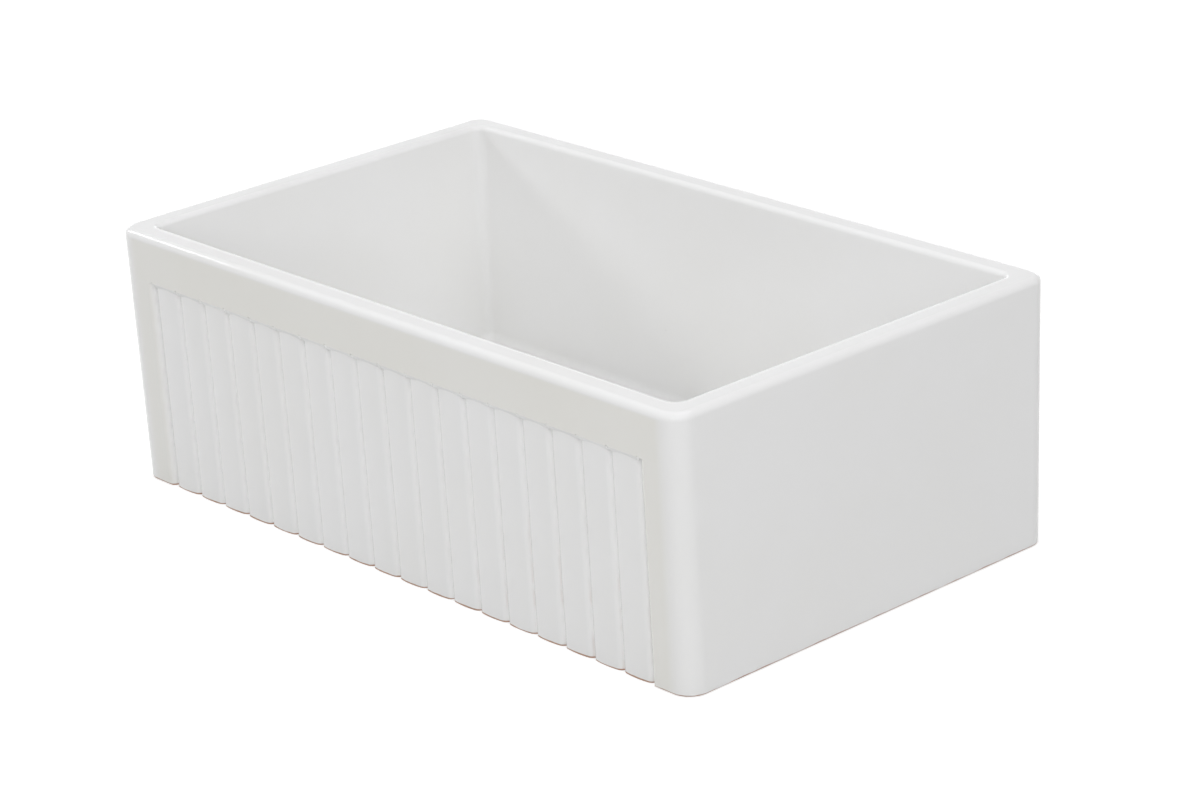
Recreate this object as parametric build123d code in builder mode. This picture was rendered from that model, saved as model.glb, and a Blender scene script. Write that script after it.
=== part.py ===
from build123d import *
import os
from math import atan2, cos, degrees, radians, sqrt, tan

os.makedirs("parts", exist_ok=True)

# Farmhouse apron front sink of fireclay, with a 3-1/2 in basket strainer waste.
# Millimetres, +Z up, X along the width, the apron towards -Y.
# The origin is the middle of the basin's flat underside.

# Basin, outside
basin_width = 762
basin_depth = 457
basin_height = 254
face_draw_in = 4            # the front and the back stand in this far at the foot
corner_radius = 20
rim_outer_radius = 6.5
rim_inner_radius = 5
foot_radius = 1.5

# Basin, bowl
wall_thickness = 25         # at the rim
floor_thickness = 28        # along the walls
floor_fall = 5              # from the walls down to the outlet
bowl_draft = 1.0            # degrees
bowl_corner_radius = 7      # between two walls, at the floor
cove_radius = 6.8           # between wall and floor, no more than the corners'
cove_to_slope = 2           # level strip between the cove and the sloping floor
slope_corner_radius = 60

# Basin, outlet
outlet_clearance = 2        # radial, round the strainer's neck
seat_clearance = 2.35       # radial, round the strainer's flange
flange_sink = 0.3           # the flange's top lies this far below the floor
under_seat_clearance = 6    # radial, round the gasket
under_seat_depth = 2

# Apron
band_height = 46.7          # plain band from the rim down to the slats
least_margin = 40           # plain face on each side of the slats, at least
slat_pitch = 37
slat_recess = 1.3           # the slats' crests lie this far behind the band and the margins
crown_radius = 92           # a slat's face is slightly round
shoulder_width = 5.5        # from a valley's middle to where the crown begins
run_out_width = 8           # from an end valley's middle to the margin's plain face
valley_depth = 4.4          # behind the slats' crests
root_half_width = 0.9       # of the valley's round root
root_rise = 0.5             # from the root's middle out to its edges
run_out_lead = 0.02         # the slope there starts this far in front of the face it cuts
slat_line_gap = 0.3         # from the foot of the band's slope down to where the slats' run ends
band_slope_height = 2.4     # the band's lower edge slopes back to the slats over this height
valley_end_gap = 0.4        # the valleys end this far below the band's edge
notch_width = 3.4           # a narrow round notch carries each valley on into the band
notch_depth = 2.0           # behind the band's face
notch_rise = 1.0            # the notch ends this far up the band
notch_end_height = 1.0      # and runs out to nothing over this height

# Strainer body
flange_diameter = 114.3
flange_thickness = 1.2
flange_lip_gap = 0.3        # the flange's rolled lip stands this far off the clay
flange_lip_width = 1.3
putty_thickness = 1.5
neck_diameter = 86
neck_wall = 2
mouth_radius = 6
press_radius = 1.8
ledge_drop = 42             # from the top of the flange down to the basket's ledge
ledge_width = 5
spigot_bore = 38
spigot_wall = 4.5
spigot_length = 20
bar_width = 3
bar_height = 3
bar_clearance = 4.4         # from the post's tip down to the crossbars
bar_bite = 0.5              # the bars run this far into the spigot's wall

# Fixings under the basin
thread_clearance = 0.1      # radial, between a nut and the thread it turns on
ring_clearance = 0.6        # radial, between a loose ring and what it is slipped over
gasket_width = 12.4
gasket_thickness = 3
friction_width = 10.9
friction_thickness = 1
locknut_wall = 8.9
locknut_height = 10
lug_count = 6
lug_reach = 6
lug_width = 13
lug_height = 7
nut_chamfer = 1

# Tailpiece and its coupling
tube_diameter = 38.1
tube_wall = 1.1
tube_length = 86            # below the flange
tube_flange_inset = 0.5     # the tube's flange is this much smaller, radially, than the spigot
tube_flange_thickness = 1.3
tube_washer_thickness = 2
coupling_wall = 5.4         # at the flats
coupling_grip = 13          # how far the nut runs up the spigot
coupling_lip = 2.6
coupling_lip_clearance = 1.3

# Basket
basket_clearance = 0.4      # radial, in the neck
rest_gap = 0.2              # between a piece that lifts off and its seat
basket_height = 30
basket_wall = 0.9
basket_edge_radius = 3
bead_width = 2.2
bead_height = 2.4
foot_clearance = 5          # radial, round the stopper's seal
step_height = 8
step_run = 2
wall_hole_diameter = 5
wall_hole_count = 20
wall_hole_rows = 2
wall_row_spacing = 8
floor_hole_diameter = 4.6
inner_ring_land = 3.2       # between the guide and the inner ring of holes
inner_ring_holes = 8
outer_ring_land = 5.2       # between the outer ring of holes and the step
outer_ring_holes = 14

# Post and its guide
post_diameter = 6
running_clearance = 0.06    # radial, post in guide
guide_shoulder = 4.2        # from the ring's groove up to the guide's top
guide_spigot_wall = 3.74
guide_hole_clearance = 0.1
guide_end_height = 1.35     # below the clip
clip_thickness = 0.8
clip_overlap = 2.6          # past the edge of the guide's hole
clip_groove_depth = 0.8
ball_diameter = 4
ball_count = 3
ball_clearance = 0.05
ball_height = 6             # above the basket's floor
ring_wire = 1
ring_groove_width = 1.6
ring_inset = 0.4            # the ring lies this far inside the guide's outside
post_lift = 8
lift_clearance = 1.1        # from the lifted post's collar up to the guide
detent_depth = 0.8
collar_step = 2
collar_height = 1.5
knob_rise = 8               # from the guide's top up to the knob
knob_diameter = 22
knob_height = 10
knob_neck_diameter = 10
knob_cap = 4                # solid metal above the stud's hole
knob_edge_radius = 2

# Stopper
stud_step = 0.5             # the post's two threaded ends are this much thinner, radially
backing_inset = 6           # the backing washer's edge lies this far inside the seal's
backing_thickness = 1.2
seal_overlap = 9            # the seal covers this much of its seat, radially
seal_thickness = 3
seal_edge_radius = 0.8
seal_washer_diameter = 18
seal_washer_thickness = 1
stopper_nut_wall = 2.15     # at the flats
stopper_nut_height = 4
post_tip = 0.8              # the post shows this much below its nut

# Radii that follow from the sizes above
lip_radius = flange_diameter / 2
neck_radius = neck_diameter / 2
neck_bore = neck_radius - neck_wall
well_radius = neck_bore - ledge_width
spigot_bore_radius = spigot_bore / 2
spigot_radius = spigot_bore_radius + spigot_wall
outlet_radius = neck_radius + outlet_clearance
outlet_seat_radius = lip_radius + seat_clearance
gasket_bore = neck_radius + ring_clearance
gasket_radius = gasket_bore + gasket_width
basket_radius = neck_bore - basket_clearance
seal_radius = spigot_bore_radius + seal_overlap
foot_inner_radius = seal_radius + foot_clearance
post_radius = post_diameter / 2
stud_radius = post_radius - stud_step
stud_hole = stud_radius + thread_clearance

# Heights that follow, from the floor's middle down
clay_top = floor_thickness - floor_fall - flange_sink - flange_thickness - putty_thickness
flange_under = clay_top + putty_thickness
flange_top = flange_under + flange_thickness
ledge_z = flange_top - ledge_drop
basket_base = ledge_z + rest_gap
basket_floor = basket_base + step_height
clip_under = basket_floor - clip_thickness
guide_end = clip_under - ball_clearance - guide_end_height
collar_top = guide_end - lift_clearance - post_lift
backing_top = collar_top - collar_height
seal_top = backing_top - backing_thickness
seal_base = seal_top - seal_thickness
seal_washer_under = seal_base - seal_washer_thickness
nut_under = seal_washer_under - stopper_nut_height
post_end = nut_under - post_tip
seat_z = seal_base - rest_gap
plate_under = seat_z - neck_wall
spigot_end = plate_under - spigot_length
bars_top = post_end - bar_clearance
gasket_under = under_seat_depth - gasket_thickness
nut_face = gasket_under - friction_thickness
washer_end = spigot_end - tube_washer_thickness
tube_top = washer_end - tube_flange_thickness


def circle_ring(outer, inner, base, top):
    """A flat ring about the Z axis."""
    with BuildPart() as ring:
        with BuildSketch(Plane.XY.offset(base)):
            Circle(outer)
            Circle(inner, mode=Mode.SUBTRACT)
        extrude(amount=top - base)
    return ring


def circles_at(builder, radius, height):
    """The round edges of a turned piece at this radius and height."""
    round_edges = builder.edges().filter_by(GeomType.CIRCLE)
    near = 0.01
    return round_edges.filter_by(
        lambda edge: abs(edge.radius - radius) < near and abs(edge.center().Z - height) < near
    )


# ---------------------------------------------------------------- basin
foot_depth = basin_depth - 2 * face_draw_in
lean = degrees(atan2(face_draw_in, basin_height))
bowl_rise = basin_height - floor_thickness
bowl_widening = bowl_rise * tan(radians(bowl_draft))
bowl_width = basin_width - 2 * wall_thickness - 2 * bowl_widening
bowl_depth = basin_depth - 2 * wall_thickness - 2 * bowl_widening
clear_of_part = 10          # how far a cutting shape runs past the face it cuts

with BuildPart() as bowl_space:
    with BuildSketch(Plane.XY.offset(floor_thickness)):
        RectangleRounded(bowl_width, bowl_depth, bowl_corner_radius)
    extrude(amount=bowl_rise + clear_of_part, taper=-bowl_draft)
    fillet(bowl_space.faces().sort_by(Axis.Z)[0].edges(), cove_radius)
    # the floor falls from the coves to the outlet on all sides
    slope_inset = 2 * (cove_radius + cove_to_slope)
    with BuildSketch(Plane.XY.offset(floor_thickness)):
        RectangleRounded(bowl_width - slope_inset, bowl_depth - slope_inset, slope_corner_radius)
    with BuildSketch(Plane.XY.offset(floor_thickness - floor_fall)):
        Circle(outlet_seat_radius)
    loft()


# The apron's face leans, so its pattern is drawn square to the face.
apron_face = Plane(
    origin=(0, -foot_depth / 2, 0),
    x_dir=(1, 0, 0),
    z_dir=(0, -cos(radians(lean)), -sqrt(1 - cos(radians(lean)) ** 2)),
)
band_line = (basin_height - band_height) / cos(radians(lean))
slat_count = int((basin_width - 2 * least_margin) / slat_pitch)
field_half_width = slat_pitch * slat_count / 2
valley_places = [(index - slat_count / 2) * slat_pitch for index in range(slat_count + 1)]
root_depth = slat_recess + valley_depth
crown_depth = slat_recess + crown_radius - sqrt(crown_radius ** 2 - (slat_pitch / 2 - shoulder_width) ** 2)
crown_slope = (slat_pitch / 2 - shoulder_width) / (crown_radius + slat_recess - crown_depth)
slat_line = band_line - (crown_depth / slat_recess) * band_slope_height - slat_line_gap

# In these sections x runs along the width and y runs into the clay.
section = Plane(origin=apron_face.origin, x_dir=(1, 0, 0), z_dir=apron_face.y_dir)


def slat_crowns():
    """The round faces of all slats, drawn into the running section."""
    for valley in valley_places[:-1]:
        left = (valley + shoulder_width, crown_depth)
        right = (valley + slat_pitch - shoulder_width, crown_depth)
        ThreePointArc(left, (valley + slat_pitch / 2, slat_recess), right)


def slat_shoulder(valley, side):
    """From a slat's crown down to a valley's root; side is +1 or -1."""
    start = (valley + side * shoulder_width, crown_depth)
    root_edge = (valley + side * root_half_width, root_depth - root_rise)
    TangentArc(start, root_edge, tangent=(-side, crown_slope))


def run_out(valley, side):
    """From a margin's plain face down to the root of the end valley beside it."""
    start = (valley + side * run_out_width, -run_out_lead)
    root_edge = (valley + side * root_half_width, root_depth - root_rise)
    TangentArc(start, root_edge, tangent=(-side, 0))


def valley_root(valley):
    """The round bottom of a valley."""
    left = (valley - root_half_width, root_depth - root_rise)
    right = (valley + root_half_width, root_depth - root_rise)
    ThreePointArc(left, (valley, root_depth), right)


with BuildPart() as valley_runs:
    # all valleys and slats, from below the band's slope down past the foot
    with BuildSketch(section.offset(slat_line)):
        with BuildLine():
            field_end = field_half_width + run_out_width
            Polyline(
                (-field_end, -run_out_lead),
                (-field_end, -clear_of_part),
                (field_end, -clear_of_part),
                (field_end, -run_out_lead),
            )
            run_out(-field_half_width, -1)
            run_out(field_half_width, 1)
            slat_crowns()
            for place in valley_places[:-1]:
                slat_shoulder(place, 1)
                slat_shoulder(place + slat_pitch, -1)
            for place in valley_places:
                valley_root(place)
        make_face()
    extrude(amount=-slat_line - clear_of_part)

with BuildPart() as valley_tops:
    # the valleys alone, on up behind the band's sloping edge
    with BuildSketch(section.offset(slat_line)):
        for place in valley_places[1:-1]:
            with BuildLine():
                slat_shoulder(place, -1)
                valley_root(place)
                slat_shoulder(place, 1)
                Line((place + shoulder_width, crown_depth), (place - shoulder_width, crown_depth))
            make_face()
        for place, outer in ((valley_places[0], -1), (valley_places[-1], 1)):
            with BuildLine():
                slat_shoulder(place, -outer)
                valley_root(place)
                run_out(place, outer)
                Polyline(
                    (place + outer * run_out_width, -run_out_lead),
                    (place, -run_out_lead),
                    (place, crown_depth),
                    (place - outer * shoulder_width, crown_depth),
                )
            make_face()
    extrude(amount=band_line - valley_end_gap - slat_line)

with BuildPart() as valley_notches:
    # a round-bottomed notch that slides forward, out of the clay, as it ends
    with BuildSketch(section.offset(slat_line - slat_line_gap)) as notch_section:
        for place in valley_places:
            notch_left = place - notch_width / 2
            notch_right = place + notch_width / 2
            straight_depth = notch_depth - notch_width / 2
            with BuildLine():
                Line((notch_left, straight_depth), (notch_left, -clear_of_part))
                Line((notch_left, -clear_of_part), (notch_right, -clear_of_part))
                Line((notch_right, -clear_of_part), (notch_right, straight_depth))
                ThreePointArc((notch_left, straight_depth), (place, notch_depth), (notch_right, straight_depth))
            make_face()
    notch_run = band_line + notch_rise - notch_end_height - slat_line + slat_line_gap
    extrude(amount=notch_run)
    end_section = notch_section.sketch.moved(Location(apron_face.y_dir * notch_run))
    run_end = apron_face.y_dir * notch_end_height + apron_face.z_dir * notch_depth
    extrude(end_section, amount=2 * run_end.length, dir=run_end)

with BuildPart() as slat_tops:
    # the slats alone, on up to the band, whose lower edge slopes back
    with BuildSketch(section.offset(slat_line)):
        with BuildLine():
            Polyline(
                (-field_half_width + shoulder_width, crown_depth),
                (-field_half_width, crown_depth),
                (-field_half_width, -clear_of_part),
                (field_half_width, -clear_of_part),
                (field_half_width, crown_depth),
                (field_half_width - shoulder_width, crown_depth),
            )
            slat_crowns()
            for place in valley_places[1:-1]:
                Line((place - shoulder_width, crown_depth), (place + shoulder_width, crown_depth))
        make_face()
    extrude(amount=band_line - slat_line)
    band_slope = Plane(
        origin=section.offset(band_line).origin,
        x_dir=(1, 0, 0),
        z_dir=apron_face.y_dir * slat_recess - apron_face.z_dir * band_slope_height,
    )
    split(bisect_by=band_slope, keep=Keep.BOTTOM)


with BuildPart() as basin:
    # side profile, wider at the rim than at the foot
    with BuildSketch(Plane.YZ.offset(-basin_width / 2)):
        with BuildLine():
            Polyline(
                (-foot_depth / 2, 0),
                (foot_depth / 2, 0),
                (basin_depth / 2, basin_height),
                (-basin_depth / 2, basin_height),
                close=True,
            )
        make_face()
    extrude(amount=basin_width)
    nearly_upright = cos(radians(2 * lean + 1))
    uprights = basin.edges().filter_by(lambda edge: abs(edge.tangent_at(0).Z) > nearly_upright)
    fillet(uprights, corner_radius)
    fillet(basin.faces().sort_by(Axis.Z)[-1].edges(), rim_outer_radius)
    fillet(basin.faces().sort_by(Axis.Z)[0].edges(), foot_radius)
    add(bowl_space.part, mode=Mode.SUBTRACT)
    fillet(basin.faces().sort_by(Axis.Z)[-1].inner_wires()[0].edges(), rim_inner_radius)

    # outlet: a seat for the flange, the hole, and a seat for the gasket underneath
    with BuildSketch(Plane.XY.offset(clay_top)):
        Circle(outlet_seat_radius)
    extrude(amount=floor_thickness - clay_top, mode=Mode.SUBTRACT)
    with BuildSketch(Plane.XY):
        Circle(outlet_radius)
    extrude(amount=floor_thickness, mode=Mode.SUBTRACT)
    with BuildSketch(Plane.XY):
        Circle(gasket_radius + under_seat_clearance)
    extrude(amount=under_seat_depth, mode=Mode.SUBTRACT)

    # apron: crowned slats between the valleys, under a plain band
    add(valley_runs.part, mode=Mode.SUBTRACT)
    add(slat_tops.part, mode=Mode.SUBTRACT)
    add(valley_tops.part, mode=Mode.SUBTRACT)
    add(valley_notches.part, mode=Mode.SUBTRACT)

basin.part.label = "basin"
export_step(basin.part, "parts/basin.step")


# ---------------------------------------------------------------- fixed waste
putty_edge = lip_radius - flange_lip_width - ring_clearance
under_mouth_radius = mouth_radius - neck_wall
under_mouth = neck_radius + under_mouth_radius
flange_putty = circle_ring(putty_edge, under_mouth, clay_top, flange_under)
flange_putty.part.label = "flange_putty"
export_step(flange_putty.part, "parts/flange_putty.step")

mouth_start = neck_bore + mouth_radius
ledge_under = ledge_z - neck_wall
well_outer = well_radius + neck_wall

with BuildPart() as strainer_body:
    with BuildSketch(Plane.XZ):
        with BuildLine():
            # outside, from the flange's lip down to the spigot's end
            Polyline(
                (lip_radius, flange_top - flange_thickness),
                (lip_radius, clay_top + flange_lip_gap),
                (lip_radius - flange_lip_width, clay_top + flange_lip_gap),
                (lip_radius - flange_lip_width, flange_under),
                (under_mouth, flange_under),
            )
            TangentArc(
                (under_mouth, flange_under),
                (neck_radius, flange_under - under_mouth_radius),
                tangent=(-1, 0),
            )
            Polyline(
                (neck_radius, flange_under - under_mouth_radius),
                (neck_radius, ledge_under),
                (well_outer, ledge_under),
                (well_outer, plate_under),
                (spigot_radius, plate_under),
                (spigot_radius, spigot_end),
                (spigot_bore_radius, spigot_end),
                (spigot_bore_radius, seat_z),
                (well_radius, seat_z),
                (well_radius, ledge_z),
                (neck_bore, ledge_z),
                (neck_bore, flange_top - mouth_radius),
            )
            # mouth and flange, with a rounded rim
            TangentArc(
                (neck_bore, flange_top - mouth_radius),
                (mouth_start, flange_top),
                tangent=(0, 1),
            )
            Line((mouth_start, flange_top), (lip_radius - flange_thickness, flange_top))
            TangentArc(
                (lip_radius - flange_thickness, flange_top),
                (lip_radius, flange_top - flange_thickness),
                tangent=(1, 0),
            )
        make_face()
    revolve(axis=Axis.Z)
    # crossbars keep cutlery out of the pipe
    bar_length = 2 * (spigot_bore_radius + bar_bite)
    with Locations((0, 0, bars_top - bar_height / 2)):
        with Locations(Rotation(0, 0, 0), Rotation(0, 0, 90)):
            Box(bar_length, bar_width, bar_height)
    # corners that the press leaves round
    fillet(circles_at(strainer_body, neck_radius, ledge_under), press_radius)
    fillet(circles_at(strainer_body, well_outer, plate_under), press_radius)

strainer_body.part.label = "strainer_body"
export_step(strainer_body.part, "parts/strainer_body.step")

sink_gasket = circle_ring(gasket_radius, gasket_bore, gasket_under, under_seat_depth)
sink_gasket.part.label = "sink_gasket"
export_step(sink_gasket.part, "parts/sink_gasket.step")

friction_washer = circle_ring(gasket_bore + friction_width, gasket_bore, nut_face, gasket_under)
friction_washer.part.label = "friction_washer"
export_step(friction_washer.part, "parts/friction_washer.step")

locknut_bore = neck_radius + thread_clearance
locknut_radius = locknut_bore + locknut_wall
with BuildPart() as locknut:
    with BuildSketch(Plane.XY.offset(nut_face - locknut_height)):
        Circle(locknut_radius)
    extrude(amount=locknut_height)
    chamfer(locknut.faces().sort_by(Axis.Z)[0].edges(), nut_chamfer)
    # lugs for a spud wrench
    with BuildSketch(Plane.XY.offset(nut_face - lug_height)):
        with PolarLocations(locknut_radius, lug_count):
            RectangleRounded(2 * lug_reach, lug_width, lug_reach / 2)
    extrude(amount=lug_height)
    with BuildSketch(Plane.XY.offset(nut_face - locknut_height)):
        Circle(locknut_bore)
    extrude(amount=locknut_height, mode=Mode.SUBTRACT)

locknut.part.label = "locknut"
export_step(locknut.part, "parts/locknut.step")

tube_radius = tube_diameter / 2
tube_bore = tube_radius - tube_wall
tube_flange_radius = spigot_radius - tube_flange_inset
tailpiece_washer = circle_ring(tube_flange_radius, tube_bore, washer_end, spigot_end)
tailpiece_washer.part.label = "tailpiece_washer"
export_step(tailpiece_washer.part, "parts/tailpiece_washer.step")

with BuildPart() as tailpiece:
    with BuildSketch(Plane.XZ):
        with BuildLine():
            Polyline(
                (tube_bore, washer_end),
                (tube_flange_radius, washer_end),
                (tube_flange_radius, tube_top),
                (tube_radius, tube_top),
                (tube_radius, tube_top - tube_length),
                (tube_bore, tube_top - tube_length),
                close=True,
            )
        make_face()
    revolve(axis=Axis.Z)

tailpiece.part.label = "tailpiece"
export_step(tailpiece.part, "parts/tailpiece.step")

coupling_top = spigot_end + coupling_grip
coupling_base = tube_top - coupling_lip
coupling_bore = spigot_radius + thread_clearance
coupling_flat = coupling_bore + coupling_wall
with BuildPart() as coupling_nut:
    with BuildSketch(Plane.XY.offset(coupling_base)):
        RegularPolygon(coupling_flat, 6, major_radius=False)
    extrude(amount=coupling_top - coupling_base)
    # turned corners, as on any hexagon nut
    with BuildSketch(Plane.XZ):
        with BuildLine():
            corner = coupling_flat / cos(radians(30))
            bevel = corner - coupling_flat
            Polyline(
                (0, coupling_base),
                (corner - bevel, coupling_base),
                (corner, coupling_base + bevel / 2),
                (corner, coupling_top - bevel / 2),
                (corner - bevel, coupling_top),
                (0, coupling_top),
                close=True,
            )
        make_face()
    revolve(axis=Axis.Z, mode=Mode.INTERSECT)
    with BuildSketch(Plane.XY.offset(tube_top)):
        Circle(coupling_bore)
    extrude(amount=coupling_top - tube_top, mode=Mode.SUBTRACT)
    with BuildSketch(Plane.XY.offset(coupling_base)):
        Circle(tube_radius + coupling_lip_clearance)
    extrude(amount=coupling_lip, mode=Mode.SUBTRACT)

coupling_nut.part.label = "coupling_nut"
export_step(coupling_nut.part, "parts/coupling_nut.step")


# ---------------------------------------------------------------- basket
basket_top = basket_base + basket_height
guide_spigot_radius = post_radius + running_clearance + guide_spigot_wall
guide_hole_radius = guide_spigot_radius + guide_hole_clearance
foot_edge = basket_radius - basket_edge_radius
floor_top = basket_floor + basket_wall
ball_radius = ball_diameter / 2
ball_z = floor_top + ball_height
ball_centre_radius = post_radius + ball_clearance + ball_radius
ring_radius = ball_centre_radius + ball_radius + ball_clearance + ring_wire / 2
guide_radius = ring_radius + ring_wire / 2 + ring_inset
inner_ring_radius = guide_radius + inner_ring_land + floor_hole_diameter / 2
outer_ring_radius = foot_inner_radius - step_run - outer_ring_land - floor_hole_diameter / 2

with BuildPart() as basket_cup:
    with BuildSketch(Plane.XZ):
        with BuildLine():
            # outside: wall, rounded corner, foot, step up to the floor
            Polyline(
                (basket_radius - bead_width, basket_top),
                (basket_radius, basket_top),
                (basket_radius, basket_base + basket_edge_radius),
            )
            TangentArc(
                (basket_radius, basket_base + basket_edge_radius),
                (foot_edge, basket_base),
                tangent=(0, -1),
            )
            Polyline(
                (foot_edge, basket_base),
                (foot_inner_radius, basket_base),
                (foot_inner_radius - step_run, basket_floor),
                (guide_hole_radius, basket_floor),
                (guide_hole_radius, floor_top),
                (foot_inner_radius - step_run + basket_wall / 2, floor_top),
                (foot_inner_radius + basket_wall / 2, basket_base + basket_wall),
                (foot_edge, basket_base + basket_wall),
            )
            TangentArc(
                (foot_edge, basket_base + basket_wall),
                (basket_radius - basket_wall, basket_base + basket_edge_radius),
                tangent=(1, 0),
            )
            Polyline(
                (basket_radius - basket_wall, basket_base + basket_edge_radius),
                (basket_radius - basket_wall, basket_top - bead_height),
                (basket_radius - bead_width, basket_top - bead_height),
                (basket_radius - bead_width, basket_top),
            )
        make_face()
    revolve(axis=Axis.Z)
    # rolled edge
    fillet(basket_cup.faces().sort_by(Axis.Z)[-1].edges(), basket_wall)
    # holes through the wall, every second row half a step round
    hole_step = 360 / wall_hole_count
    first_row = basket_base + basket_edge_radius + wall_hole_diameter
    for row in range(wall_hole_rows):
        with Locations((0, 0, first_row + row * wall_row_spacing)):
            with PolarLocations(basket_radius, wall_hole_count, start_angle=row * hole_step / 2):
                Cylinder(
                    wall_hole_diameter / 2,
                    4 * basket_wall,
                    rotation=(0, 90, 0),
                    mode=Mode.SUBTRACT,
                )
    # two rings of holes through the floor
    with BuildSketch(Plane.XY.offset(basket_floor)):
        with PolarLocations(inner_ring_radius, inner_ring_holes):
            Circle(floor_hole_diameter / 2)
        with PolarLocations(outer_ring_radius, outer_ring_holes):
            Circle(floor_hole_diameter / 2)
    extrude(amount=basket_wall, mode=Mode.SUBTRACT)

basket_cup.part.label = "basket_cup"
export_step(basket_cup.part, "parts/basket_cup.step")

groove_top = ball_z + ring_groove_width / 2
groove_base = ball_z - ring_groove_width / 2
guide_top = groove_top + guide_shoulder
clip_seat_radius = guide_spigot_radius - clip_groove_depth
guide_bore = post_radius + running_clearance
ring_floor_radius = ball_centre_radius + ball_radius - ball_clearance

with BuildPart() as post_guide:
    with BuildSketch(Plane.XZ):
        with BuildLine():
            Polyline(
                (guide_bore, guide_top),
                (guide_radius, guide_top),
                (guide_radius, groove_top),
                (ring_floor_radius, groove_top),
                (ring_floor_radius, groove_base),
                (guide_radius, groove_base),
                (guide_radius, floor_top),
                (guide_spigot_radius, floor_top),
                (guide_spigot_radius, basket_floor),
                (clip_seat_radius, basket_floor),
                (clip_seat_radius, clip_under - ball_clearance),
                (guide_spigot_radius, clip_under - ball_clearance),
                (guide_spigot_radius, guide_end),
                (guide_bore, guide_end),
                close=True,
            )
        make_face()
    revolve(axis=Axis.Z)
    chamfer(post_guide.faces().sort_by(Axis.Z)[-1].edges().sort_by(SortBy.RADIUS)[-1], nut_chamfer)
    # pockets for the balls, from the bore out to the ring's groove
    with Locations((0, 0, ball_z)):
        with PolarLocations(ball_centre_radius, ball_count):
            Cylinder(ball_radius + ball_clearance, guide_radius, rotation=(0, 90, 0), mode=Mode.SUBTRACT)

post_guide.part.label = "post_guide"
export_step(post_guide.part, "parts/post_guide.step")

clip_radius = guide_hole_radius + clip_overlap
guide_clip = circle_ring(clip_radius, clip_seat_radius + ball_clearance, clip_under, basket_floor)
guide_clip.part.label = "guide_clip"
export_step(guide_clip.part, "parts/guide_clip.step")

with BuildPart() as detent_balls:
    with Locations((0, 0, ball_z)):
        with PolarLocations(ball_centre_radius, ball_count):
            Sphere(ball_radius)

detent_balls.part.label = "detent_balls"
export_step(detent_balls.part, "parts/detent_balls.step")

with BuildPart() as detent_ring:
    with BuildSketch(Plane.XZ):
        with Locations((ring_radius, ball_z)):
            Circle(ring_wire / 2)
    revolve(axis=Axis.Z)

detent_ring.part.label = "detent_ring"
export_step(detent_ring.part, "parts/detent_ring.step")


# ---------------------------------------------------------------- post and stopper
knob_base = guide_top + knob_rise
knob_top = knob_base + knob_height
knob_stud_top = knob_top - knob_cap - thread_clearance
knob_radius = knob_diameter / 2
collar_radius = post_radius + collar_step
detent_z = ball_z - post_lift

with BuildPart() as stopper_post:
    with BuildSketch(Plane.XZ):
        with BuildLine():
            Polyline(
                (0, post_end),
                (stud_radius, post_end),
                (stud_radius, backing_top),
                (collar_radius, backing_top),
                (collar_radius, collar_top),
                (post_radius, collar_top),
                (post_radius, knob_base),
                (stud_radius, knob_base),
                (stud_radius, knob_stud_top),
                (0, knob_stud_top),
                close=True,
            )
        make_face()
    revolve(axis=Axis.Z)
    # groove that the balls drop into when the post is pulled up
    with BuildSketch(Plane.XZ):
        with Locations((post_radius + ball_radius - detent_depth, detent_z)):
            Circle(ball_radius)
    revolve(axis=Axis.Z, mode=Mode.SUBTRACT)

stopper_post.part.label = "stopper_post"
export_step(stopper_post.part, "parts/stopper_post.step")

with BuildPart() as stopper_knob:
    with BuildSketch(Plane.XZ):
        with BuildLine():
            neck_edge = (knob_neck_diameter / 2, knob_base)
            brim_edge = (knob_radius, knob_base + knob_height / 2)
            Line((0, knob_base), neck_edge)
            TangentArc(neck_edge, brim_edge, tangent=(0, 1))
            Polyline(brim_edge, (knob_radius, knob_top), (0, knob_top), (0, knob_base))
        make_face()
    revolve(axis=Axis.Z)
    fillet(stopper_knob.faces().sort_by(Axis.Z)[-1].edges(), knob_edge_radius)
    with BuildSketch(Plane.XY.offset(knob_base)):
        Circle(stud_hole)
    extrude(amount=knob_height - knob_cap, mode=Mode.SUBTRACT)

stopper_knob.part.label = "stopper_knob"
export_step(stopper_knob.part, "parts/stopper_knob.step")

backing_washer = circle_ring(seal_radius - backing_inset, stud_hole, seal_top, backing_top)
backing_washer.part.label = "backing_washer"
export_step(backing_washer.part, "parts/backing_washer.step")

with BuildPart() as stopper_seal:
    with BuildSketch(Plane.XY.offset(seal_base)):
        Circle(seal_radius)
        Circle(stud_hole, mode=Mode.SUBTRACT)
    extrude(amount=seal_thickness)
    fillet(circles_at(stopper_seal, seal_radius, seal_base), seal_edge_radius)
    fillet(circles_at(stopper_seal, seal_radius, seal_top), seal_edge_radius)

stopper_seal.part.label = "stopper_seal"
export_step(stopper_seal.part, "parts/stopper_seal.step")

seal_washer = circle_ring(seal_washer_diameter / 2, stud_hole, seal_washer_under, seal_base)
seal_washer.part.label = "seal_washer"
export_step(seal_washer.part, "parts/seal_washer.step")

with BuildPart() as stopper_nut:
    with BuildSketch(Plane.XY.offset(nut_under)):
        RegularPolygon(stud_hole + stopper_nut_wall, 6, major_radius=False)
        Circle(stud_hole, mode=Mode.SUBTRACT)
    extrude(amount=stopper_nut_height)

stopper_nut.part.label = "stopper_nut"
export_step(stopper_nut.part, "parts/stopper_nut.step")
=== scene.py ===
import math

import bpy
from mathutils import Matrix, Vector


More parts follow.
